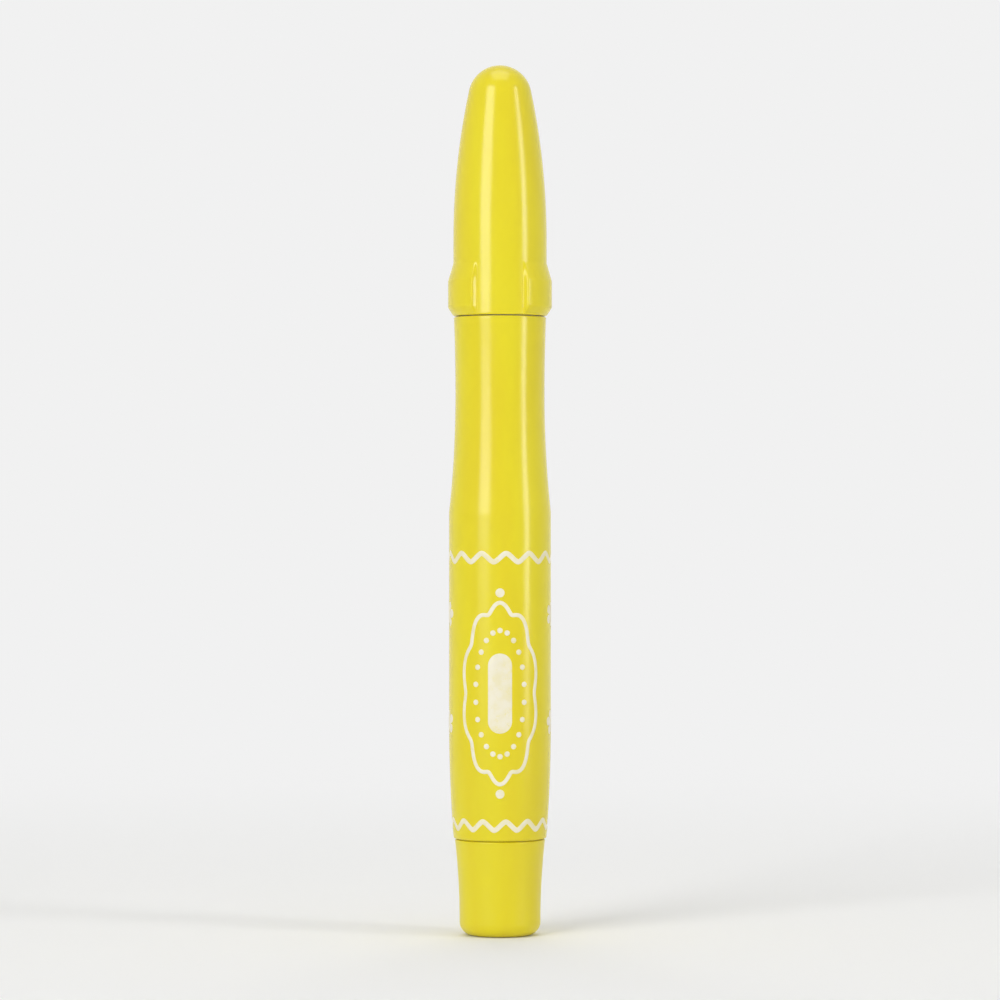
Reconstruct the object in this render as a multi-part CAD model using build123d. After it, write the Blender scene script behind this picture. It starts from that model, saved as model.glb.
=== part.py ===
from build123d import *
import os
from math import atan2, cos, hypot, sin, sqrt

# A twist-up gel crayon with its cap on, standing on its knob: eight pieces about one axis, in mm.
# +Z runs from the knob's flat base, at z = 0, to the nose of the cap. The printed front faces -Y.
# Radii are worked out from the stick outwards, and heights from the base upwards.

# Gel stick
stick_radius = 5.2
stick_nose_length = 9.0
stick_nose_radius = 2.4
tip_recess = 0.4  # the tip below the tube's mouth when the stick is wound down

# Carrier that holds the stick
finger_length = 8.0
cup_floor = 2.0
notch_depth = 0.45
guide_thickness = 2.5
nut_length = 8.0
tail_wall = 1.2
tail_clearance = 0.3

# Lead screw and drag ring
travel = 28.0
screw_lead = 7.0
screw_crest_radius = 2.6
screw_root_radius = 1.8
thread_width = 2.2
screw_point_length = 1.0
screw_point_radius = 0.9
screw_collar_thickness = 1.5
screw_collar_cover = 0.3
shank_width = 3.6
shank_length = 10.0
pivot_ledge = 0.1
drag_ring_section = 1.2

# Inner tube
tube_wall = 0.75
tube_floor = 2.0
key_rib_count = 4
key_rib_height = 0.4
key_rib_width = 1.2
key_rib_setback = 3.0
spigot_length = 8.5
spigot_chamfer = 0.35
snap_ring_height = 0.2
snap_ring_width = 1.2
snap_ring_setback = 3.0
tube_collar_height = 0.4
tube_collar_thickness = 1.0
tube_key_count = 2
tube_key_width = 2.0
tube_key_length = 1.2

# Barrel
rear_taper_length = 18.85
grip_length = 35.5
flare_length = 19.5
neck_length = 13.0
rear_wall = 0.7
grip_wall = 1.45
waist_wall = 0.8
neck_wall = 1.05
core_setback = 2.5
centring_rib_count = 6
centring_rib_height = 0.4
centring_rib_width = 1.0

# Twist knob
knob_length = 16.0
knob_step = 0.25
knob_taper = 0.75
knob_foot_round = 2.2
knob_bevel = 0.25
knob_floor = 1.6
knob_wall = 1.5
journal_length = 5.5
journal_bead_height = 0.2
journal_bead_width = 1.2
journal_bead_setback = 2.0
boss_wall = 1.0
web_count = 4
web_thickness = 1.0
web_drop = 6.0

# Cap
cap_wall = 0.95
cap_nose_length = 29.0
cap_nose_radius = 5.3
cap_tip_room = 4.95
lug_count = 3
lug_angle = 58.0
lug_height = 0.9
lug_lower_ramp = 1.4
lug_flat = 4.4
lug_upper_ramp = 3.0
lug_round = 0.35

# Clearances, each on the radius or on one side, and small edges
fit_clearance = 0.05
running_clearance = 0.05
slide_clearance = 0.1
stick_clearance = 0.25
thread_clearance = 0.2
rib_clearance = 0.15
cap_clearance = 0.05
ring_clearance = 0.05
groove_clearance = 0.15
floor_gap = 0.2
stop_gap = 1.0
seam = 0.15
edge_round = 0.25
weld = 0.2  # how far a rib or lug is rooted in its wall

# Radii from the stick outwards
cup_bore = stick_radius + fit_clearance
key_rib_radius = stick_radius + stick_clearance
tube_bore = key_rib_radius + key_rib_height
carrier_radius = tube_bore - slide_clearance
tube_radius = tube_bore + tube_wall
tube_collar_radius = tube_radius + tube_collar_height
barrel_bore = tube_radius + fit_clearance
core_radius = barrel_bore + centring_rib_height
rear_radius = core_radius + rear_wall
grip_radius = core_radius + grip_wall
waist_radius = barrel_bore + waist_wall
neck_radius = barrel_bore + neck_wall
journal_radius = core_radius - running_clearance
knob_top_radius = rear_radius - knob_step
knob_foot_radius = knob_top_radius - knob_taper
cap_bore = tube_radius + snap_ring_height + cap_clearance
cap_radius = cap_bore + cap_wall
lug_radius = cap_radius + lug_height
pivot_radius = shank_width / sqrt(2) + pivot_ledge
tail_bore = screw_crest_radius + tail_clearance
tail_radius = tail_bore + tail_wall

# Heights from the base upwards
journal_top = knob_length + journal_length
journal_bead_z = journal_top - journal_bead_setback
barrel_rear = knob_length + seam
grip_start = barrel_rear + rear_taper_length
shoulder = grip_start + grip_length
waist = shoulder + flare_length
barrel_front = waist + neck_length
mouth = barrel_front + spigot_length
tube_collar_low = barrel_front - tube_collar_thickness
tube_low = journal_top + floor_gap
tube_floor_top = tube_low + tube_floor
screw_collar_low = tube_floor_top + drag_ring_section + 2 * ring_clearance
screw_collar_top = screw_collar_low + screw_collar_thickness
nut_low = screw_collar_top + stop_gap
nut_top = nut_low + nut_length
thread_top = nut_top + travel
screw_top = thread_top + screw_point_length
cup_low = screw_top + stop_gap
cup_floor_top = cup_low + cup_floor
finger_top = cup_floor_top + finger_length
stick_tip = mouth - tip_recess
cap_rim = barrel_front + seam
cap_top = stick_tip + travel + cap_tip_room + cap_wall


def turned(outline):
    """Solid of revolution about the axis, from a closed outline of edges drawn as (radius, height)."""
    return revolve(Plane.XZ * make_face(outline), Axis.Z)


def rod(radius, low, high):
    """Plain round rod between two heights."""
    return Pos(0, 0, low) * extrude(Circle(radius), high - low)


def ring(inner, outer, low, high):
    """Plain ring between two radii and two heights."""
    return rod(outer, low, high) - rod(inner, low, high)


def spokes(count, width, reach, low, high):
    """Upright plates that stand out from the axis at equal angles, centred on their thickness."""
    plate = Pos(0, -width / 2, low) * Box(reach, width, high - low, align=Align.MIN)
    return Part() + [Rot(0, 0, 360 * i / count) * plate for i in range(count)]


def ogive(radius, foot, start, nose_centre, nose_radius):
    """Outline with an upright side that leans in from start and runs tangent into a round nose.

    The side's arc stands upright at start, and its radius follows from touching the nose from outside.
    """
    rise = nose_centre - start
    side_radius = (radius**2 - nose_radius**2 + rise**2) / (2 * (radius - nose_radius))
    lean = atan2(rise, side_radius - radius)
    join = (nose_radius * cos(lean), nose_centre + nose_radius * sin(lean))
    top = (0, nose_centre + nose_radius)
    return [
        Polyline(top, (0, foot), (radius, foot), (radius, start)),
        TangentArc((radius, start), join, tangent=(0, 1)),
        TangentArc(top, join, tangent=(1, 0)),
    ]


def bead(radius, height, width, middle):
    """Round bead on a cylinder: the arc of its outline, from below to above."""
    return ThreePointArc(
        (radius, middle - width / 2), (radius + height, middle), (radius, middle + width / 2)
    )


def outer_edge(solid, height):
    """The widest round edge of a solid at a height."""
    level = solid.edges().filter_by(GeomType.CIRCLE).filter_by_position(Axis.Z, height, height)
    return level.sort_by(SortBy.RADIUS)[-1]


def thread(clearance, low, high):
    """Two-start left-hand thread: a bar across a round core, turned as it is carried up the axis."""
    starts = Rectangle(3 * screw_crest_radius, thread_width + 2 * clearance)
    section = Circle(screw_root_radius + clearance) + (starts & Circle(screw_crest_radius + clearance))
    degrees_per_mm = 360 / screw_lead
    section = Pos(0, 0, low) * Rot(0, 0, degrees_per_mm * low) * section
    rise = high - low
    right_hand = Solid.extrude_linear_with_rotation(
        section.face(), (0, 0, low), (0, 0, rise), degrees_per_mm * rise
    )
    return mirror(right_hand, Plane.XZ)


def gel_stick():
    """Cast stick of one diameter with a bullet-shaped tip."""
    nose_centre = stick_tip - stick_nose_radius
    nose_start = stick_tip - stick_nose_length
    return turned(ogive(stick_radius, cup_floor_top, nose_start, nose_centre, stick_nose_radius))


def stick_carrier():
    """Fingered cup on a tail tube, with a guide disc and the nut at the tail's lower end."""
    carrier = rod(tail_radius, nut_low, cup_low)
    carrier += rod(carrier_radius, nut_low, nut_low + guide_thickness)
    carrier += rod(carrier_radius, cup_low, finger_top) - rod(cup_bore, cup_floor_top, finger_top)
    carrier -= rod(tail_bore, nut_top, cup_low)
    carrier -= thread(thread_clearance, nut_low - stop_gap / 2, nut_top + stop_gap / 2)
    slots = spokes(
        key_rib_count, key_rib_width + 2 * rib_clearance, 2 * carrier_radius, nut_low, finger_top
    )
    return carrier - (slots & ring(cup_bore - notch_depth, 2 * carrier_radius, nut_low, finger_top))


def lead_screw():
    """Screw with a square shank for the knob, a pivot through the tube's floor and a collar over it."""
    shank = Pos(0, 0, journal_top - shank_length) * extrude(
        Rectangle(shank_width, shank_width), shank_length
    )
    pivot = rod(pivot_radius, journal_top, screw_collar_low)
    collar_radius = pivot_radius + drag_ring_section + screw_collar_cover
    collar = rod(collar_radius, screw_collar_low, screw_collar_top)
    collar = fillet(outer_edge(collar, screw_collar_top), edge_round)
    point = Pos(0, 0, thread_top) * Cone(
        screw_root_radius,
        screw_point_radius,
        screw_point_length,
        align=(Align.CENTER, Align.CENTER, Align.MIN),
    )
    return shank + pivot + collar + thread(0, screw_collar_top, thread_top) + point


def drag_ring():
    """Round-section ring about the screw's pivot, between the tube's floor and the screw's collar."""
    section_radius = drag_ring_section / 2
    middle = tube_floor_top + ring_clearance + section_radius
    return Pos(0, 0, middle) * Torus(pivot_radius + ring_clearance + section_radius, section_radius)


def inner_tube():
    """Guide tube with a bearing floor, key ribs, a collar with keys, and the spigot for the cap."""
    snap_ring_z = mouth - snap_ring_setback
    outline = [
        Polyline(
            (tube_radius, snap_ring_z - snap_ring_width / 2),
            (tube_radius, barrel_front),
            (tube_collar_radius, barrel_front),
            (tube_collar_radius, tube_collar_low),
            (tube_radius, tube_collar_low),
            (tube_radius, tube_low),
            (pivot_radius + running_clearance, tube_low),
            (pivot_radius + running_clearance, tube_floor_top),
            (tube_bore, tube_floor_top),
            (tube_bore, mouth),
            (tube_radius - spigot_chamfer, mouth),
            (tube_radius, mouth - spigot_chamfer),
            (tube_radius, snap_ring_z + snap_ring_width / 2),
        ),
        bead(tube_radius, snap_ring_height, snap_ring_width, snap_ring_z),
    ]
    rib_top = mouth - key_rib_setback
    ribs = ring(key_rib_radius, tube_bore + weld, tube_floor_top, rib_top)
    ribs &= spokes(key_rib_count, key_rib_width, 2 * tube_bore, tube_floor_top, rib_top)
    key_low = tube_collar_low - tube_key_length
    keys = ring(tube_radius - weld, tube_collar_radius, key_low, tube_collar_low)
    keys &= spokes(tube_key_count, tube_key_width, 2 * tube_radius, key_low, tube_collar_low)
    return turned(outline) + ribs + keys


def barrel():
    """Outer barrel: a taper, a plain grip, a concave flare to the waist and a neck that opens again."""
    seat_radius = tube_collar_radius + fit_clearance
    core_end = shoulder - core_setback
    outline = [
        TangentArc((grip_radius, grip_start), (rear_radius, barrel_rear), tangent=(0, -1)),
        Line((grip_radius, grip_start), (grip_radius, shoulder)),
        TangentArc((waist_radius, waist), (grip_radius, shoulder), tangent=(0, -1)),
        TangentArc((waist_radius, waist), (neck_radius, barrel_front), tangent=(0, 1)),
        Polyline(
            (neck_radius, barrel_front),
            (seat_radius, barrel_front),
            (seat_radius, tube_collar_low),
            (barrel_bore, tube_collar_low),
            (barrel_bore, core_end),
            (core_radius, core_end),
            (core_radius, barrel_rear),
            (rear_radius, barrel_rear),
        ),
    ]
    shell = turned(outline)
    shell = fillet([outer_edge(shell, barrel_rear), outer_edge(shell, barrel_front)], edge_round)
    ribs = ring(barrel_bore, core_radius + weld, tube_low, core_end)
    ribs &= spokes(centring_rib_count, centring_rib_width, 2 * core_radius, tube_low, core_end)
    groove_half = journal_bead_width / 2 + groove_clearance
    groove_radius = journal_radius + journal_bead_height + running_clearance
    groove = rod(groove_radius, journal_bead_z - groove_half, journal_bead_z + groove_half)
    slot_low = tube_collar_low - tube_key_length - groove_clearance
    slots = spokes(
        tube_key_count, tube_key_width + 2 * rib_clearance, seat_radius, slot_low, tube_collar_low
    )
    return shell + ribs - groove - (slots & rod(seat_radius, slot_low, tube_collar_low))


def twist_knob():
    """Tapered knob with a journal that snaps into the barrel and a webbed boss for the screw."""
    bevel_z = knob_length - knob_bevel
    outline = [
        Line((0, 0), (knob_foot_radius - knob_foot_round, 0)),
        TangentArc(
            (knob_foot_radius - knob_foot_round, 0), (knob_foot_radius, knob_foot_round), tangent=(1, 0)
        ),
        TangentArc((knob_foot_radius, knob_foot_round), (knob_top_radius, bevel_z), tangent=(0, 1)),
        Polyline(
            (knob_top_radius, bevel_z),
            (knob_top_radius - knob_bevel, knob_length),
            (journal_radius, knob_length),
            (journal_radius, journal_bead_z - journal_bead_width / 2),
        ),
        bead(journal_radius, journal_bead_height, journal_bead_width, journal_bead_z),
        Polyline(
            (journal_radius, journal_bead_z + journal_bead_width / 2),
            (journal_radius, journal_top),
            (0, journal_top),
            (0, 0),
        ),
    ]
    boss_radius = shank_width / sqrt(2) + boss_wall
    hollow = ring(boss_radius, journal_radius - knob_wall, knob_floor, journal_top)
    hollow -= spokes(web_count, web_thickness, 2 * journal_radius, knob_floor, journal_top - web_drop)
    socket_width = shank_width + 2 * fit_clearance
    socket = Pos(0, 0, journal_top - shank_length) * extrude(
        Rectangle(socket_width, socket_width), shank_length
    )
    return turned(outline) - hollow - socket


def cap_lug():
    """One anti-roll lug: a pad with ramped ends, rounded along its two upright sides, facing +X."""
    root = cap_radius - weld
    flat_low = cap_rim + lug_lower_ramp
    flat_high = flat_low + lug_flat
    top = flat_high + lug_upper_ramp
    section = Polyline(
        (root, cap_rim),
        (cap_radius, cap_rim),
        (lug_radius, flat_low),
        (lug_radius, flat_high),
        (cap_radius, top),
        (root, top),
        close=True,
    )
    pad = revolve(Plane.XZ * make_face(section), Axis.Z, lug_angle)
    upright = [
        edge
        for edge in pad.edges().filter_by(GeomType.LINE)
        if hypot(edge.center().X, edge.center().Y) > cap_radius
    ]
    return Rot(0, 0, -lug_angle / 2) * fillet(upright, lug_round)


def cap():
    """Pull-off cap with a tangent nose, an even wall and lugs at the rim, one of them at the back."""
    start = cap_top - cap_nose_length
    nose_centre = cap_top - cap_nose_radius
    outside = turned(ogive(cap_radius, cap_rim, start, nose_centre, cap_nose_radius))
    outside = fillet(outer_edge(outside, cap_rim), edge_round)
    lugs = [Rot(0, 0, 90 + 360 * i / lug_count) * cap_lug() for i in range(lug_count)]
    inside = turned(ogive(cap_bore, cap_rim, start, nose_centre, cap_nose_radius - cap_wall))
    return outside + lugs - inside


pieces = [
    gel_stick,
    stick_carrier,
    lead_screw,
    drag_ring,
    inner_tube,
    barrel,
    twist_knob,
    cap,
]
os.makedirs("parts", exist_ok=True)
for piece in pieces:
    export_step(piece(), f"parts/{piece.__name__}.step")
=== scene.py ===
import bpy
import numpy as np
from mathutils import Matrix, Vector


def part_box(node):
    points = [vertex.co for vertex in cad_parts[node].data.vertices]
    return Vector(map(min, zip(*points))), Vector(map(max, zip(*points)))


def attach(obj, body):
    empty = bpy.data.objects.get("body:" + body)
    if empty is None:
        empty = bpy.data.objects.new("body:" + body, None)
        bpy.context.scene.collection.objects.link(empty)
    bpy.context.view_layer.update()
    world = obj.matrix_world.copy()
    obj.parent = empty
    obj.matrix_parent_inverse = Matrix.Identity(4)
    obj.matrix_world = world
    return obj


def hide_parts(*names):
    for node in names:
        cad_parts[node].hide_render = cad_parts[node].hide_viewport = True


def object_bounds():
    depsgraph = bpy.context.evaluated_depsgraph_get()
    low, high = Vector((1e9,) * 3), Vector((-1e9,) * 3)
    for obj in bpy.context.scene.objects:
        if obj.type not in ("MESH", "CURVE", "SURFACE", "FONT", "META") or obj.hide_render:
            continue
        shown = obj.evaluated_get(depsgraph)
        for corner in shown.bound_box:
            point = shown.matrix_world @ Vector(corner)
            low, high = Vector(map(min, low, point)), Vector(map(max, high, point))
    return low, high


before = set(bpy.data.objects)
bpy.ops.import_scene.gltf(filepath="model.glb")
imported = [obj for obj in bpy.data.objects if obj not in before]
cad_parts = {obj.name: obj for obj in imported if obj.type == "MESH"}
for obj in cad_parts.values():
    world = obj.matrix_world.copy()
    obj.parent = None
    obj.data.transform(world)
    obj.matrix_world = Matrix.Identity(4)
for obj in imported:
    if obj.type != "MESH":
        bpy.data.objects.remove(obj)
cad_low, cad_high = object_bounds()

# Twist knob: the tapered tail that is turned to wind the stick. It is moulded in yellow polypropylene
# with a rounded foot and a gate mark under it. Its journal snaps into the open end of the barrel by a
# bead, and a boss on webs in its hollow has the square socket for the lead screw.
mm = 0.001
columns = 192
knob_rows = 48
sharp_corner = np.radians(35)
edge_round = 0.25 * mm
knob_seam = 0.15 * mm
knob_taper = 0.75 * mm
knob_foot_round = 2.2 * mm
journal_radius = 7.0 * mm
journal_bead_height = 0.2 * mm
journal_bead_width = 1.2 * mm
journal_bead_setback = 2.0 * mm
hollow_radius = 5.5 * mm
hollow_floor = 1.6 * mm
boss_radius = 3.55 * mm
socket_half = 1.85 * mm
socket_depth = 10.0 * mm
web_count = 4
web_half = np.radians(6.4)
web_soft = np.radians(1.2)
web_drop = 6.0 * mm
web_ring = web_count, 0, web_half, web_soft
gate_radius = 1.4 * mm
gate_depth = 0.2 * mm
barrel_low, barrel_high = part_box("barrel")
knob_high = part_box("twist_knob")[1]
knob_shoulder = barrel_low.z - knob_seam
knob_foot_radius = knob_high.x - knob_taper
journal_bead_z = knob_high.z - journal_bead_setback
around = np.linspace(0, 2 * np.pi, columns, endpoint=False)


def screen(red, green, blue):
    """Linear colour, with an alpha of 1, from screen values of 0 to 255: a power of 2.4 above the toe."""
    share = np.array([red, green, blue]) / 255
    return (*np.where(share < 0.04, share / 12.92, ((share + 0.055) / 1.055) ** 2.4), 1.0)


def bow(distance, length, depth):
    """How far an arc has left its tangent after a distance, if it is depth away after length."""
    radius = (length**2 + depth**2) / (2 * depth)
    return radius - np.sqrt(radius**2 - np.clip(distance, 0, length) ** 2)


def arc(radius, height, size, start, end, steps=9):
    """Outline points on an arc about (radius, height), between two angles in degrees above outwards."""
    turn = np.radians(np.linspace(start, end, steps))
    return np.stack([radius + size * np.cos(turn), height + size * np.sin(turn)], axis=1)


def bead(radius, height, width, middle, steps=15):
    """Outline of a round bead on a cylinder, from below to above: it swells as a squared cosine."""
    share = np.linspace(-0.5, 0.5, steps)
    return np.stack([radius + height * np.cos(share * np.pi) ** 2, middle + share * width], axis=1)


def pads(angle, count, first, half, soft):
    """1 over each of count equal pads round the axis and 0 between, with S-shaped sides of width soft."""
    pitch = 2 * np.pi / count
    away = np.abs((angle - first + pitch / 2) % pitch - pitch / 2)
    rise = np.clip((half - away) / soft + 0.5, 0, 1)
    return rise**2 * (3 - 2 * rise)


def pad_angles(count, first, half, soft, steps=17):
    """Even angles round the axis, with more of them across both sides of each pad."""
    middles = first + np.arange(count)[:, None, None] * 2 * np.pi / count
    sides = middles + np.array([[-half], [half]]) + np.linspace(-0.55, 0.55, steps) * soft
    return np.union1d(around, sides % (2 * np.pi))


def turned(radius, height, angle):
    """Grid of points at radius and height from the axis, with the angle counted from the front to +X."""
    radius, height, angle = np.broadcast_arrays(radius, height, angle)
    return np.stack([radius * np.sin(angle), -radius * np.cos(angle), height], axis=-1)


def rows(*outline):
    """Radii and heights, rows by columns, of an outline whose radii and heights may change round the axis."""
    numbers = np.stack(np.broadcast_arrays(*sum(outline, ())))
    return numbers[::2], numbers[1::2]


def closed_skin(grid, poles):
    """Corners, quads and end triangles of one grid, rows by columns, whose columns close on themselves.

    With poles, the first and last row are one point each. Without, the last row joins the first.
    The faces point outwards, which the sign of the volume under them shows.
    """
    ring = grid[1:-1] if poles else grid
    index = np.arange(ring.shape[0] * ring.shape[1]).reshape(ring.shape[:2])
    beside, above = np.roll(index, -1, axis=1), np.roll(index, -1, axis=0)
    quads = np.stack([index, beside, np.roll(above, -1, axis=1), above], axis=-1)
    corners = ring.reshape(-1, 3)
    ends = np.zeros((0, 3), int)
    if poles:
        quads = quads[:-1]
        corners = np.vstack([corners, grid[0, 0], grid[-1, 0]])
        start_pole, end_pole = np.full_like(index[0], index.size), np.full_like(index[0], index.size + 1)
        ends = np.vstack(
            [
                np.stack([start_pole, beside[0], index[0]], axis=1),
                np.stack([index[-1], beside[-1], end_pole], axis=1),
            ]
        )
    quads = quads.reshape(-1, 4)
    fan = np.vstack([quads[:, [0, 1, 2]], quads[:, [0, 2, 3]], ends])
    first, second, third = corners[fan[:, 0]], corners[fan[:, 1]], corners[fan[:, 2]]
    if np.sum(first * np.cross(second, third)) < 0:
        quads, ends = quads[:, ::-1], ends[:, ::-1]
    return corners, quads, ends


def add_piece(name, body, material, grids, poles, node=None):
    """One object from closed grids of points, smooth but for sharp corners, on its body; the solid it
    replaces is hidden.
    """
    corners, faces, count = [], [], 0
    for grid in grids:
        points, quads, ends = closed_skin(grid, poles)
        faces += (quads + count).tolist() + (ends + count).tolist()
        corners.append(points)
        count += len(points)
    mesh = bpy.data.meshes.new(name)
    mesh.from_pydata(np.vstack(corners).tolist(), [], faces)
    mesh.shade_smooth()
    mesh.set_sharp_from_angle(angle=sharp_corner)
    mesh.materials.append(material)
    piece = bpy.data.objects.new(name, mesh)
    bpy.context.scene.collection.objects.link(piece)
    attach(piece, body)
    if node:
        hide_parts(node)


def add_node(tree, kind, inputs=(), **settings):
    """New shader node: settings are its properties, and inputs its values or links, by name or number."""
    made = tree.nodes.new("ShaderNode" + kind)
    for name, value in settings.items():
        setattr(made, name, value)
    for name, value in dict(inputs).items():
        if isinstance(value, bpy.types.NodeSocket):
            tree.links.new(value, made.inputs[name])
        else:
            made.inputs[name].default_value = value
    return made


def maths(tree, operation, first, second):
    """Result of one sum, product or other step on two values or links."""
    return add_node(tree, "Math", {0: first, 1: second}, operation=operation).outputs[0]


def level(tree, value, low, high):
    """0 below low and 1 above high, with an S-shaped rise between them."""
    inputs = {"Value": value, "From Min": low, "From Max": high}
    return add_node(tree, "MapRange", inputs, interpolation_type="SMOOTHSTEP").outputs["Result"]


def noise(tree, cells, detail, stretch=(1, 1, 1), turn=(0, 0, 0)):
    """Noise of so many cells a metre on the object's own coordinates, turned and stretched first."""
    place = add_node(tree, "TexCoord").outputs["Object"]
    shaped = add_node(tree, "Mapping", {"Vector": place, "Scale": stretch, "Rotation": turn})
    inputs = {"Vector": shaped.outputs["Vector"], "Scale": cells, "Detail": detail}
    return add_node(tree, "TexNoise", inputs).outputs[0]


def mixed(tree, share, first, second):
    """Colour that goes from first to second as share goes from 0 to 1."""
    return add_node(tree, "Mix", {0: share, 6: first, 7: second}, data_type="RGBA").outputs[2]


def new_group(name, inputs, outputs):
    """Empty shader group with its named sockets: the tree, what it is given and what it puts out."""
    group = bpy.data.node_groups.new(name, "ShaderNodeTree")
    for way, sockets in (("INPUT", inputs), ("OUTPUT", outputs)):
        for socket, kind in sockets.items():
            group.interface.new_socket(socket, in_out=way, socket_type="NodeSocket" + kind)
    return group, group.nodes.new("NodeGroupInput").outputs, group.nodes.new("NodeGroupOutput").inputs


def moulded_skin():
    """Group for moulded plastic: the colour drifts to a shade along the flow of the melt, handling and
    hairline scratches dull the gloss, and the height is orange peel with the scratches cut into it."""
    drift_share, handling_dull, scratch_dull, scratch_depth = 0.5, 0.04, 0.03, 0.1
    group, given, made = new_group(
        "moulded_skin",
        {"Colour": "Color", "Shade": "Color", "Roughness": "Float"},
        {"Colour": "Color", "Roughness": "Float", "Height": "Float"},
    )
    flow = level(group, noise(group, cells=160, detail=3, stretch=(1, 1, 0.15)), low=0.35, high=0.75)
    handled = level(group, noise(group, cells=110, detail=2), low=0.38, high=0.68)
    lengthwise = noise(group, cells=2400, detail=1, stretch=(1, 1, 0.03))
    crosswise = noise(group, cells=2400, detail=1, stretch=(0.04, 0.04, 1), turn=(0.1, 0, 0))
    hairlines = level(group, maths(group, "MAXIMUM", lengthwise, crosswise), low=0.72, high=0.78)
    scratches = maths(group, "MULTIPLY", hairlines, handled)
    drift = maths(group, "MULTIPLY", flow, drift_share)
    group.links.new(mixed(group, drift, given["Colour"], given["Shade"]), made["Colour"])
    dulled = maths(group, "ADD", given["Roughness"], maths(group, "MULTIPLY", handled, handling_dull))
    scored = maths(group, "ADD", dulled, maths(group, "MULTIPLY", scratches, scratch_dull))
    group.links.new(scored, made["Roughness"])
    cuts = maths(group, "MULTIPLY", scratches, scratch_depth)
    group.links.new(maths(group, "SUBTRACT", noise(group, cells=700, detail=1), cuts), made["Height"])
    return group


def new_finish(name, refraction):
    """Bare material with one shader of this refraction: the material, its nodes and the shader's inputs."""
    material = bpy.data.materials.new(name)
    material.use_nodes = True
    inputs = material.node_tree.nodes["Principled BSDF"].inputs
    inputs["IOR"].default_value = refraction
    return material, material.node_tree, inputs


def light_within(inputs, weight, reach, depth):
    """Let light spread inside a wall: what share of it, how far in red, green and blue, and how deep."""
    inputs["Subsurface Weight"].default_value = weight
    inputs["Subsurface Radius"].default_value = reach
    inputs["Subsurface Scale"].default_value = depth


def link_skin(tree, inputs, colour, roughness, bumps):
    """Feed a shader its colour and its roughness, and the normal that a bump makes of a height."""
    tree.links.new(colour, inputs["Base Color"])
    tree.links.new(roughness, inputs["Roughness"])
    tree.links.new(add_node(tree, "Bump", bumps).outputs["Normal"], inputs["Normal"])


def plastic(name, colour, shade, roughness, relief, glow=0.0):
    """Moulded plastic: the shared skin at this roughness and relief, and a glow of light in its wall."""
    material, tree, inputs = new_finish(name, refraction=1.49)
    light_within(inputs, weight=glow, reach=(1.0, 0.8, 0.3), depth=0.6 * mm)
    given = {"Colour": colour, "Shade": shade, "Roughness": roughness}
    skin = add_node(tree, "Group", given, node_tree=moulding).outputs
    bumps = {"Height": skin["Height"], "Strength": relief, "Distance": 0.05 * mm}
    link_skin(tree, inputs, skin["Colour"], skin["Roughness"], bumps)
    return material


moulding = moulded_skin()
lemon, deep_lemon = screen(229, 214, 21), screen(223, 199, 13)
knob_side = np.linspace(knob_foot_round, knob_shoulder - edge_round, knob_rows)
knob_bow = bow(knob_side - knob_foot_round, knob_shoulder - edge_round - knob_foot_round, knob_taper)
knob_outside = np.vstack(
    [
        (0, gate_depth),
        (gate_radius, gate_depth),
        (gate_radius + gate_depth, 0),
        arc(knob_foot_radius - knob_foot_round, knob_foot_round, knob_foot_round, -90, 0),
        np.stack([knob_foot_radius + knob_bow, knob_side], axis=1)[1:-1],
        arc(knob_high.x - edge_round, knob_shoulder - edge_round, edge_round, 0, 90),
        (journal_radius, knob_shoulder),
        bead(journal_radius, journal_bead_height, journal_bead_width, journal_bead_z),
        (journal_radius, knob_high.z),
    ]
)
knob_angles = pad_angles(*web_ring)
webbed = hollow_floor + pads(knob_angles, *web_ring) * (knob_high.z - web_drop - hollow_floor)
square = socket_half / np.maximum(np.abs(np.cos(knob_angles)), np.abs(np.sin(knob_angles)))
socket_floor = knob_high.z - socket_depth
knob_inside = rows(
    (hollow_radius, knob_high.z),
    (hollow_radius, webbed),
    (boss_radius, webbed),
    (boss_radius, knob_high.z),
    (square, knob_high.z),
    (square, socket_floor),
    (0, socket_floor),
)
knob_finish = plastic("knob_finish", lemon, deep_lemon, roughness=0.30, relief=0.14)
knob_skin = np.vstack(
    [
        turned(knob_outside[:, :1], knob_outside[:, 1:], knob_angles),
        turned(*knob_inside, knob_angles),
    ]
)
add_piece("knob_shell", "knob", knob_finish, [knob_skin], poles=True, node="twist_knob")

# Lead screw and drag ring: the screw is pressed into the knob by its square shank, and the rubber ring
# under its collar gives the twist its drag. Both are plain moulded pieces that the barrel hides.
natural, deep_natural = screen(233, 232, 226), screen(222, 220, 212)
rubber, deep_rubber = screen(38, 38, 39), screen(28, 28, 30)


def dress(node, finish):
    """Give a solid's own mesh one finish, in place of the plain one that it comes with."""
    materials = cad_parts[node].data.materials
    materials.clear()
    materials.append(finish)


dress("lead_screw", plastic("screw_finish", natural, deep_natural, roughness=0.38, relief=0.4, glow=0.1))
dress("drag_ring", plastic("ring_finish", rubber, deep_rubber, roughness=0.62, relief=0.8))

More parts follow.
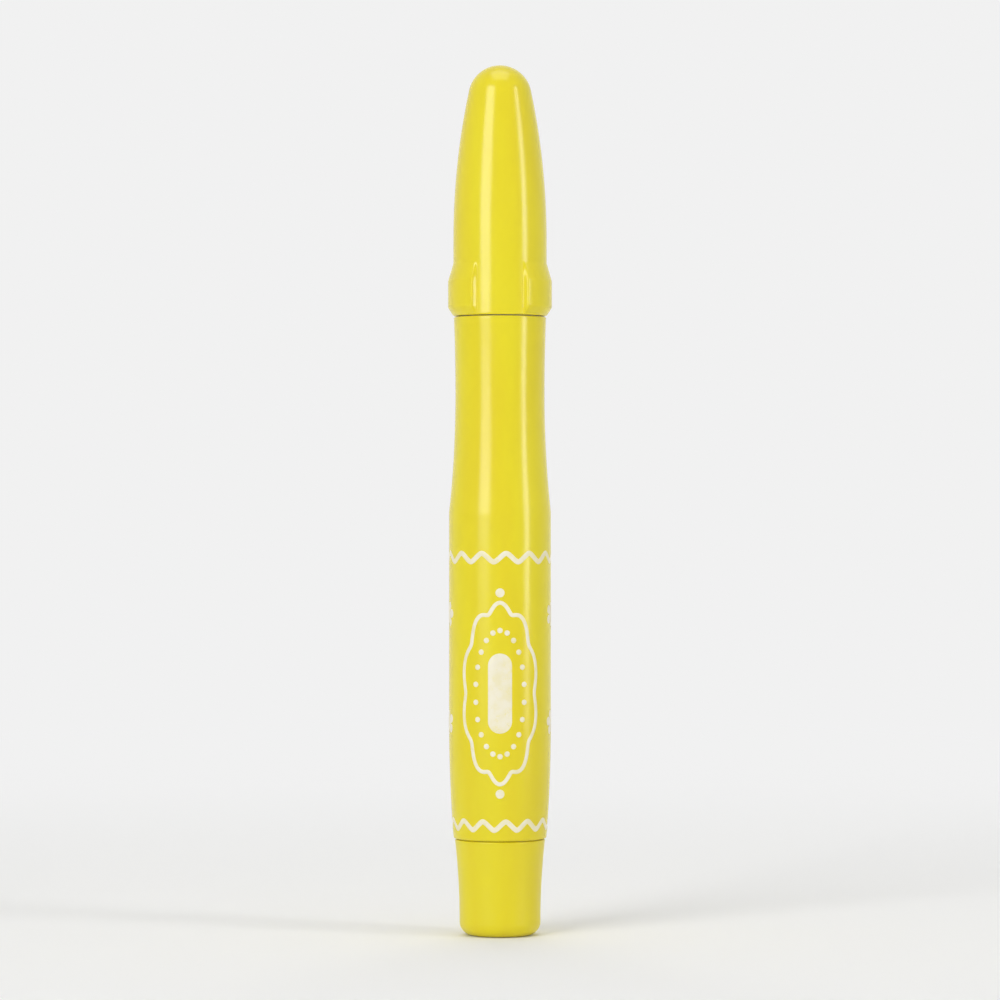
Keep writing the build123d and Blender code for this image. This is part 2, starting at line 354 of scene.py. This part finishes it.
# Inner tube: the guide tube that is fixed in the barrel by its collar. It is moulded in natural white
# polypropylene, with ribs inside that key the carrier, and the cap snaps on to its bare front end.
tube_bore = 5.85 * mm
tube_radius = 6.6 * mm
tube_floor = 2.0 * mm
tube_collar = 1.0 * mm
pivot_hole = 2.7 * mm
mouth_round = 0.3 * mm
snap_ring_setback = 3.0 * mm
snap_ring_width = 1.2 * mm
snap_ring_height = 0.2 * mm
key_rib_count = 4
key_rib_width = 1.2 * mm
key_rib_height = 0.4 * mm
key_rib_soft = 0.2 * mm
key_rib_setback = 3.0 * mm
tube_low, tube_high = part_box("inner_tube")
snap_ring_z = tube_high.z - snap_ring_setback
collar_low = barrel_high.z - tube_collar
tube_outside = np.vstack(
    [
        (tube_radius, tube_low.z),
        (tube_radius, collar_low),
        (tube_high.x, collar_low),
        (tube_high.x, barrel_high.z),
        (tube_radius, barrel_high.z),
        bead(tube_radius, snap_ring_height, snap_ring_width, snap_ring_z),
        arc(tube_radius - mouth_round, tube_high.z - mouth_round, mouth_round, 0, 90),
    ]
)
rib_top = tube_high.z - key_rib_setback
floor_top = tube_low.z + tube_floor
tube_inside = np.vstack(
    [
        arc(tube_bore + mouth_round / 2, tube_high.z - mouth_round / 2, mouth_round / 2, 90, 180),
        (tube_bore, rib_top),
        (tube_bore - key_rib_height, rib_top - key_rib_height),
        (tube_bore - key_rib_height, floor_top),
        (pivot_hole, floor_top),
        (pivot_hole, tube_low.z),
    ]
)
key_ring = key_rib_count, 0, key_rib_width / 2 / tube_bore, key_rib_soft / tube_bore
tube_angles = pad_angles(*key_ring)
tube_outline = np.vstack([tube_outside, tube_inside])
ribbed = np.isclose(tube_outline[:, :1], tube_bore - key_rib_height)
tube_radii = tube_outline[:, :1] + ribbed * key_rib_height * (1 - pads(tube_angles, *key_ring))
milky, deep_milky = screen(238, 236, 224), screen(226, 222, 206)
tube_finish = plastic("tube_finish", milky, deep_milky, roughness=0.3, relief=0.3, glow=0.25)
tube_skin = turned(tube_radii, tube_outline[:, 1:], tube_angles)
add_piece("tube_shell", "barrel", tube_finish, [tube_skin], poles=False, node="inner_tube")

# Stick carrier: the fingered cup that grips the stick, with the nut for the lead screw at its tail.
# It is moulded in natural polypropylene, slides on the tube's ribs and never shows outside.
pale, deep_pale = screen(236, 234, 226), screen(224, 221, 210)
dress("stick_carrier", plastic("carrier_finish", pale, deep_pale, roughness=0.4, relief=0.4, glow=0.15))

# Gel stick: the crayon itself, cast from soft wax gel with a bullet-shaped tip and pressed into the
# carrier's cup. Its skin is satin and slightly uneven, with a few pores and smears from the casting.
stick_nose_length = 9.0 * mm
stick_nose_radius = 2.4 * mm
stick_low, stick_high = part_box("gel_stick")


def ogive(radius, start, top, nose_radius, end_steps=30, side_steps=56):
    """Outline of a nose from its top down: a round end and, tangent to it, a side arc upright at start."""
    rise = top - nose_radius - start
    side = (radius**2 - nose_radius**2 + rise**2) / (2 * (radius - nose_radius))
    lean = np.degrees(np.arctan2(rise, side - radius))
    end = arc(0, top - nose_radius, nose_radius, 90, lean, end_steps)
    return np.vstack([end, arc(radius - side, start, side, lean, 0, side_steps)[1:]])


def wax(name, colour, deep):
    """Soft wax gel: clouded colour, satin patches, shallow pores and long casting smears."""
    satin, smear_dull, pore_depth = 0.26, 0.22, 0.6
    material, tree, inputs = new_finish(name, refraction=1.44)
    light_within(inputs, weight=0.3, reach=(1.0, 0.7, 0.2), depth=1.2 * mm)
    cloud = level(tree, noise(tree, cells=420, detail=3, stretch=(1, 1, 0.3)), low=0.25, high=0.8)
    smear = noise(tree, cells=700, detail=3, stretch=(1, 1, 0.12))
    pores = level(tree, noise(tree, cells=2600, detail=1), low=0.68, high=0.8)
    rough = maths(tree, "ADD", maths(tree, "MULTIPLY", smear, smear_dull), satin)
    height = maths(tree, "SUBTRACT", smear, maths(tree, "MULTIPLY", pores, pore_depth))
    bumps = {"Height": height, "Strength": 0.5, "Distance": 0.06 * mm}
    link_skin(tree, inputs, mixed(tree, cloud, colour, deep), rough, bumps)
    return material


stick_outline = np.vstack(
    [
        ogive(stick_high.x, stick_high.z - stick_nose_length, stick_high.z, stick_nose_radius),
        (stick_high.x, stick_low.z),
        (0, stick_low.z),
    ]
)
stick_finish = wax("stick_finish", screen(240, 216, 24), screen(235, 204, 16))
stick_skin = turned(stick_outline[:, :1], stick_outline[:, 1:], around)
add_piece("stick_body", "stick", stick_finish, [stick_skin], poles=True, node="gel_stick")

# Barrel: the sleeve that is held in the hand, one moulding in yellow polypropylene. It tapers to the
# knob, is straight where it is gripped, and draws in along a hollow curve to a slim waist and neck.
# Inside, six ribs centre the guide tube, and a groove near the open end takes the knob's bead.
rear_taper_length = 18.85 * mm
grip_length = 35.5 * mm
flare_length = 19.5 * mm
neck_length = 13.0 * mm
rear_radius = 7.75 * mm
waist_radius = 7.45 * mm
neck_radius = 7.7 * mm
barrel_bore = 6.65 * mm
barrel_core = 7.05 * mm
core_setback = 2.5 * mm
core_draft = 0.1 * mm
centring_rib_count = 6
centring_rib_first = np.radians(30)
centring_rib_half = np.radians(4.1)
centring_rib_soft = np.radians(1.2)
centring_ring = centring_rib_count, centring_rib_first, centring_rib_half, centring_rib_soft
collar_clearance = 0.05 * mm
groove_clearance = 0.05 * mm
groove_room = 0.15 * mm
barrel_step = 0.5 * mm
grip_radius = barrel_high.x
grip_start = barrel_low.z + rear_taper_length
shoulder = grip_start + grip_length
waist = shoulder + flare_length


def barrel_radius(height):
    """Outer radius of the barrel at a height: arcs fall away behind the grip and from it to the waist."""
    taper = bow(grip_start - height, rear_taper_length, grip_radius - rear_radius)
    flare = bow(waist - height, flare_length, grip_radius - waist_radius)
    neck = bow(height - waist, neck_length, neck_radius - waist_radius)
    return np.where(height < shoulder, grip_radius - taper, waist_radius + flare + neck)


def rounded_run(low, high, step, round_steps=8):
    """Heights from low to high, close together in the edge rounds, and how far each round draws in."""
    turn = np.linspace(0, np.pi / 2, round_steps)
    rise, draw = edge_round * (1 - np.cos(turn)), edge_round * (1 - np.sin(turn))
    middle = np.arange(low + edge_round + step, high - edge_round - step / 2, step)
    heights = np.concatenate([low + rise, middle, (high - rise)[::-1]])
    return heights, np.concatenate([draw, np.zeros_like(middle), draw[::-1]])


barrel_z, barrel_draw = rounded_run(barrel_low.z, barrel_high.z, barrel_step)
collar_seat = tube_high.x + collar_clearance
core_end = shoulder - core_setback
groove_radius = journal_radius + journal_bead_height + groove_clearance
groove_half = journal_bead_width / 2 + groove_room
barrel_angles = pad_angles(*centring_ring)
ribbed_core = barrel_core - pads(barrel_angles, *centring_ring) * (barrel_core - barrel_bore)
barrel_inside = rows(
    (collar_seat, barrel_high.z),
    (collar_seat, collar_low),
    (barrel_bore, collar_low),
    (barrel_bore, core_end),
    (ribbed_core, core_end - core_draft),
    (ribbed_core, tube_low.z + core_draft),
    (barrel_core, tube_low.z),
    (barrel_core, journal_bead_z + groove_half),
    (groove_radius, journal_bead_z + groove_half),
    (groove_radius, journal_bead_z - groove_half),
    (barrel_core, journal_bead_z - groove_half),
    (barrel_core, barrel_low.z),
)
barrel_outside = (barrel_radius(barrel_z) - barrel_draw)[:, None], barrel_z[:, None]
barrel_finish = plastic("barrel_finish", lemon, deep_lemon, roughness=0.2, relief=0.12)
barrel_skin = np.vstack([turned(*barrel_outside, barrel_angles), turned(*barrel_inside, barrel_angles)])
add_piece(
    "barrel_shell", "barrel", barrel_finish, [barrel_skin], poles=False, node="barrel"
)

# Wavy lines: the two that close the print off, one above the knob and one below the waist. The whole print
# is one colour of off-white ink, laid on the moulded barrel by a soft pad as a thin matt film.
ink_film = 0.03 * mm
ink_bed = -0.02 * mm
line_across = np.array([-0.5, -0.42, 0, 0.42, 0.5, 0.42, 0, -0.42])[:, None]
line_film = np.array([0, 0.8, 1, 0.8, 0, 0, 0, 0])[:, None] * ink_film
line_bed = np.array([0, 0, 0, 0, 0, 1, 1, 1])[:, None] * ink_bed
wave_count = 13
wave_height = 0.7 * mm
wave_line = 0.84 * mm
wave_corner = 0.8
wave_levels = (18.7 * mm, 63.0 * mm)
wave_steps = 780


def on_barrel(along, height, lift):
    """Points on the barrel's skin: along runs round the grip from the front, and lift stands off the skin."""
    return turned(barrel_radius(height) + lift, height, along / grip_radius)


def printed_line(route, width, count):
    """Closed line of ink: a low domed section, set square to the route that a share of 0 to 1 runs along."""
    share, step = np.arange(count) / count, 0.25 / count
    along, height = route(share)
    (ahead_x, ahead_z), (behind_x, behind_z) = route(share + step), route(share - step)
    run, rise = ahead_x - behind_x, ahead_z - behind_z
    length = np.hypot(run, rise)
    across = line_across * width
    return on_barrel(along - across * rise / length, height + across * run / length, line_film + line_bed)


def ink(name, colour, thin, ground):
    """Off-white ink: fine grain from the pad, yellower where the film is thin or worn, and matt."""
    matt, grain_dull, worn_share = 0.38, 0.2, 0.45
    material, tree, inputs = new_finish(name, refraction=1.46)
    grain = noise(tree, cells=3800, detail=2)
    patches = level(tree, noise(tree, cells=900, detail=3), low=0.52, high=0.72)
    worn = maths(tree, "MULTIPLY", patches, level(tree, grain, low=0.4, high=0.7))
    cover = mixed(tree, level(tree, noise(tree, cells=420, detail=2), low=0.4, high=0.7), colour, thin)
    tone = mixed(tree, maths(tree, "MULTIPLY", worn, worn_share), cover, ground)
    rough = maths(tree, "ADD", maths(tree, "MULTIPLY", grain, grain_dull), matt)
    bumps = {"Height": grain, "Strength": 0.35, "Distance": 0.02 * mm}
    link_skin(tree, inputs, tone, rough, bumps)
    return material


def wavy_ring(middle):
    """Route round the barrel: a triangle wave with rounded corners, the arcsine of a sine held under 1."""

    def route(share):
        sine = np.arcsin(wave_corner * np.sin(2 * np.pi * wave_count * share)) / np.arcsin(wave_corner)
        return 2 * np.pi * grip_radius * share, middle + wave_height * sine

    return route


ink_finish = ink("ink_finish", screen(238, 232, 210), screen(234, 226, 188), lemon)
waves = [printed_line(wavy_ring(middle), wave_line, wave_steps) for middle in wave_levels]
add_piece("wave_print", "barrel", ink_finish, waves, poles=False)

# Scalloped frame: the oval outline that faces the front, half way between the wavy lines. It is one
# closed line of the same ink, printed in the same stroke of the pad.
frame_middle = 40.6 * mm
frame_half_width, frame_half_height = 6.0 * mm, 13.2 * mm
frame_line = 0.65 * mm
scallop_count = 10
scallop_depth = 0.13
scallop_soft = 0.07
frame_steps = 480


def scalloped_frame(share):
    """Route of the frame: an oval whose reach swells into scallops, the root of a squared sine."""
    turn = 2 * np.pi * share
    swell = 1 + scallop_depth * np.sqrt(np.sin(scallop_count * turn / 2) ** 2 + scallop_soft)
    height = frame_middle + frame_half_height * swell * np.sin(turn)
    return frame_half_width * swell * np.cos(turn), height


frame_outline = printed_line(scalloped_frame, frame_line, frame_steps)
add_piece("frame_print", "barrel", ink_finish, [frame_outline], poles=False)

# Plate and dots: a blank plate in the middle of the frame with a ring of dots round it, and a larger dot
# above and below the frame. They are solid spots of the same ink, where a slight unevenness shows most.
spot_columns = 96
spot_share = np.array([0, 0.2, 0.4, 0.6, 0.8, 0.93, 1, 0.9, 0.6, 0.3, 0])[:, None]
spot_film = np.array([1, 1, 1, 1, 1, 0.8, 0, 0, 0, 0, 0])[:, None] * ink_film
spot_bed = np.array([0, 0, 0, 0, 0, 0, 0, 1, 1, 1, 1])[:, None] * ink_bed
spot_turn = (np.arange(spot_columns) + 0.5) * 2 * np.pi / spot_columns
plate_half_width, plate_half_height = 2.0 * mm, 6.6 * mm
dot_count = 22
dot_radius = 0.45 * mm
dot_ring_half_width, dot_ring_half_height = 4.2 * mm, 10.4 * mm
end_dot_radius = 0.75 * mm
end_dot_reach = 16.6 * mm


def printed_spot(outline, along, height):
    """Spot of ink: its outline about a place is drawn in over the top to a point, and to another below."""
    sideways, upwards = outline
    return on_barrel(along + spot_share * sideways, height + spot_share * upwards, spot_film + spot_bed)


def pill(half_width, half_height):
    """Outline of an upright pill: a circle whose upper and lower halves are pulled apart."""
    apart = (half_height - half_width) * np.sign(np.sin(spot_turn))
    return half_width * np.cos(spot_turn), half_width * np.sin(spot_turn) + apart


plate = [printed_spot(pill(plate_half_width, plate_half_height), 0, frame_middle)]
dot_turns = (np.arange(dot_count) + 0.5) * 2 * np.pi / dot_count
dot_places = zip(dot_ring_half_width * np.cos(dot_turns), dot_ring_half_height * np.sin(dot_turns))
dots = [printed_spot(pill(dot_radius, dot_radius), along, frame_middle + rise) for along, rise in dot_places]
ends = [
    printed_spot(pill(end_dot_radius, end_dot_radius), 0, frame_middle + reach)
    for reach in (-end_dot_reach, end_dot_reach)
]
add_piece("label_print", "barrel", ink_finish, plate + dots + ends, poles=True)

# Flowers: small five-petal flowers scattered over the sides and the back, in columns that are set higher
# and lower by turns. Each is a solid spot of the same ink.
petal_count = 5
petal_offset = 1.35 * mm
petal_radius = 0.74 * mm
flower_heart = 0.75 * mm
flower_columns = 7
flower_turns = np.radians(np.linspace(80, 280, flower_columns))
flower_levels = np.array([[53.5, 35.5], [44.5, 26.8]]) * mm
flower_tilt = np.radians(25)


def flower(tilt):
    """Outline of a flower: at each angle the far side of the nearest petal's circle, or else its heart."""
    pitch = 2 * np.pi / petal_count
    away = (spot_turn - tilt + pitch / 2) % pitch - pitch / 2
    width = petal_radius**2 - (petal_offset * np.sin(away)) ** 2
    petal = petal_offset * np.cos(away) + np.sqrt(np.maximum(width, 0))
    reach = np.where(width > 0, np.maximum(petal, flower_heart), flower_heart)
    return reach * np.cos(spot_turn), reach * np.sin(spot_turn)


flowers = [
    printed_spot(flower(flower_tilt * (column + row)), turn * grip_radius, middle)
    for column, turn in enumerate(flower_turns)
    for row, middle in enumerate(flower_levels[column % 2])
]
add_piece("flower_print", "barrel", ink_finish, flowers, poles=True)

# Cap: the long pull-off cap, moulded in the same yellow polypropylene in a polished tool. Its side leans
# in to a round nose, and three lugs at its rim keep the crayon from rolling and give fingers a hold.
cap_radius = 7.8 * mm
cap_wall = 0.95 * mm
cap_nose_length = 29.0 * mm
cap_nose_radius = 5.3 * mm
cap_rows = 96
lug_count = 3
lug_first = np.radians(60)
lug_half = np.radians(29)
lug_soft = np.radians(4.6)
lug_ring = lug_count, lug_first, lug_half, lug_soft
lug_lower_ramp = 1.4 * mm
lug_flat = 4.4 * mm
lug_upper_ramp = 3.0 * mm
lug_blur = 0.2 * mm
lug_blur_steps = 9
cap_low, cap_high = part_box("cap")
lug_height = cap_high.x - cap_radius
lug_knots = cap_low.z + np.cumsum([0, lug_lower_ramp, lug_flat, lug_upper_ramp])


def lug_lift(height):
    """How far a lug stands out at a height: a ramp, a flat and a ramp, blurred a little at their corners."""
    blur = np.linspace(-lug_blur, lug_blur, lug_blur_steps)
    rise = np.interp(height[..., None] + blur, lug_knots, [0, lug_height, lug_height, 0])
    return rise.mean(axis=-1)


cap_start = cap_high.z - cap_nose_length
cap_bore = cap_radius - cap_wall
cap_side = np.linspace(cap_start, cap_low.z + edge_round, cap_rows)
cap_outside = np.vstack(
    [
        ogive(cap_radius, cap_start, cap_high.z, cap_nose_radius),
        np.stack([np.full_like(cap_side, cap_radius), cap_side], axis=1)[1:-1],
        arc(cap_radius - edge_round, cap_low.z + edge_round, edge_round, 0, -90),
    ]
)
cap_inside = np.vstack(
    [
        arc(cap_bore + edge_round, cap_low.z + edge_round, edge_round, -90, -180),
        ogive(cap_bore, cap_start, cap_high.z - cap_wall, cap_nose_radius - cap_wall)[::-1],
    ]
)
cap_angles = pad_angles(*lug_ring)
cap_outer_radii = cap_outside[:, :1] + lug_lift(cap_outside[:, 1:]) * pads(cap_angles, *lug_ring)
cap_inner_radii = np.broadcast_to(cap_inside[:, :1], (len(cap_inside), len(cap_angles)))
cap_skin = turned(
    np.vstack([cap_outer_radii, cap_inner_radii]),
    np.vstack([cap_outside, cap_inside])[:, 1:],
    cap_angles,
)
cap_finish = plastic("cap_finish", lemon, deep_lemon, roughness=0.17, relief=0.1)
add_piece("cap_shell", "cap", cap_finish, [cap_skin], poles=True, node="cap")

# Studio: a pale seamless sheet that is the floor and curves up behind, a large soft light from the left
# front, a narrow one on the right, one overhead, a weak one behind, and a long lens square to the front.
# Far from the crayon the sheet looks as pale as the air, and from its back it can be seen through.
sheet_front, sheet_bend, sheet_back = -3.0, 0.35, 0.75
sheet_rise = 1.4
sheet_half_width = 3.0
sheet_bend_steps, sheet_columns = 24, 9
sheet_near, sheet_far = 0.1, 0.45
air_light, air_pale = 0.3, 0.88
middle_z = (cad_low.z + cad_high.z) / 2
view_share = 0.88
view_lens, view_sensor = 150.0, 36.0


def seen_share(tree):
    """1 for rays that end in the picture, straight, mirrored or through glass, and 0 for those that light."""
    rays = add_node(tree, "LightPath").outputs
    mirrored = maths(tree, "MAXIMUM", rays["Is Glossy Ray"], rays["Is Transmission Ray"])
    return maths(tree, "MAXIMUM", rays["Is Camera Ray"], mirrored)


sheet_turn = np.linspace(0, np.pi / 2, sheet_bend_steps)
sheet_curve = sheet_back - sheet_bend
sheet_x = np.linspace(-sheet_half_width, sheet_half_width, sheet_columns)
sheet_y = np.concatenate([[sheet_front], sheet_bend + sheet_curve * np.sin(sheet_turn), [sheet_back]])
sheet_z = np.concatenate([[0], sheet_curve * (1 - np.cos(sheet_turn)), [sheet_rise]])
sheet_points = np.stack(np.broadcast_arrays(sheet_x, sheet_y[:, None], sheet_z[:, None]), axis=-1)
cells = np.arange(sheet_y.size * sheet_x.size).reshape(sheet_y.size, sheet_x.size)
sheet_faces = np.stack([cells[:-1, :-1], cells[:-1, 1:], cells[1:, 1:], cells[1:, :-1]], axis=-1)
sheet_mesh = bpy.data.meshes.new("studio_sheet")
sheet_mesh.from_pydata(sheet_points.reshape(-1, 3).tolist(), [], sheet_faces.reshape(-1, 4).tolist())
sheet_mesh.shade_smooth()
sheet_paper, paper_tree, paper = new_finish("studio_paper", refraction=1.5)
paper["Roughness"].default_value = 0.9
paper["Specular IOR Level"].default_value = 0.0
paper["Emission Color"].default_value = (1, 1, 1, 1)
paper_seen = seen_share(paper_tree)
sheet_place = add_node(paper_tree, "TexCoord").outputs["Object"]
sheet_away = add_node(paper_tree, "VectorMath", {0: sheet_place}, operation="LENGTH").outputs["Value"]
paper_fade = maths(paper_tree, "MULTIPLY", paper_seen, level(paper_tree, sheet_away, sheet_near, sheet_far))
paper_tone = mixed(paper_tree, paper_fade, screen(244, 244, 243), (0, 0, 0, 1))
paper_glow = maths(paper_tree, "MULTIPLY", paper_fade, air_pale)
paper_back = add_node(paper_tree, "NewGeometry").outputs["Backfacing"]
paper_clear = maths(paper_tree, "MULTIPLY", paper_seen, paper_back)
paper_cover = maths(paper_tree, "SUBTRACT", 1, paper_clear)
paper_tree.links.new(paper_tone, paper["Base Color"])
paper_tree.links.new(paper_glow, paper["Emission Strength"])
paper_tree.links.new(paper_cover, paper["Alpha"])
sheet_mesh.materials.append(sheet_paper)
sheet = bpy.data.objects.new("studio_sheet", sheet_mesh)
bpy.context.scene.collection.objects.link(sheet)


def softbox(name, place, width, height, watts):
    """Rectangular soft light at a place, turned to face the middle of the crayon."""
    light = bpy.data.lights.new(name, "AREA")
    light.shape, light.size, light.size_y, light.energy = "RECTANGLE", width, height, watts
    lamp = bpy.data.objects.new(name, light)
    lamp.location = place
    aim = Vector((0, 0, middle_z)) - lamp.location
    lamp.rotation_euler = aim.to_track_quat("-Z", "Y").to_euler()
    bpy.context.scene.collection.objects.link(lamp)
    return lamp


softbox("key_light", (-0.55, -0.75, 0.40), width=0.45, height=0.7, watts=4.8)
softbox("side_light", (0.60, -0.30, 0.16), width=0.14, height=0.7, watts=1.8)
softbox("top_light", (0.0, -0.1, 1.0), width=0.7, height=0.7, watts=2.6)
back_light = softbox("back_light", (0.0, 0.62, 0.55), width=0.6, height=0.3, watts=1.2)
back_light.visible_glossy = False
world = bpy.data.worlds.new("studio_air")
world.use_nodes = True
air_tree = world.node_tree
air = air_tree.nodes["Background"].inputs
air["Color"].default_value = (1, 1, 1, 1)
air_lift = maths(air_tree, "MULTIPLY", seen_share(air_tree), air_pale - air_light)
air_tree.links.new(maths(air_tree, "ADD", air_lift, air_light), air["Strength"])
bpy.context.scene.world = world

camera_data = bpy.data.cameras.new("front_camera")
camera_data.lens, camera_data.sensor_width = view_lens, view_sensor
camera = bpy.data.objects.new("front_camera", camera_data)
view_height = (cad_high.z - cad_low.z) / view_share
camera.location = (0, cad_low.y - view_height * view_lens / view_sensor, middle_z)
camera.rotation_euler = (np.pi / 2, 0, 0)
bpy.context.scene.collection.objects.link(camera)
bpy.context.scene.camera = camera
bpy.context.scene.view_settings.view_transform = "Standard"
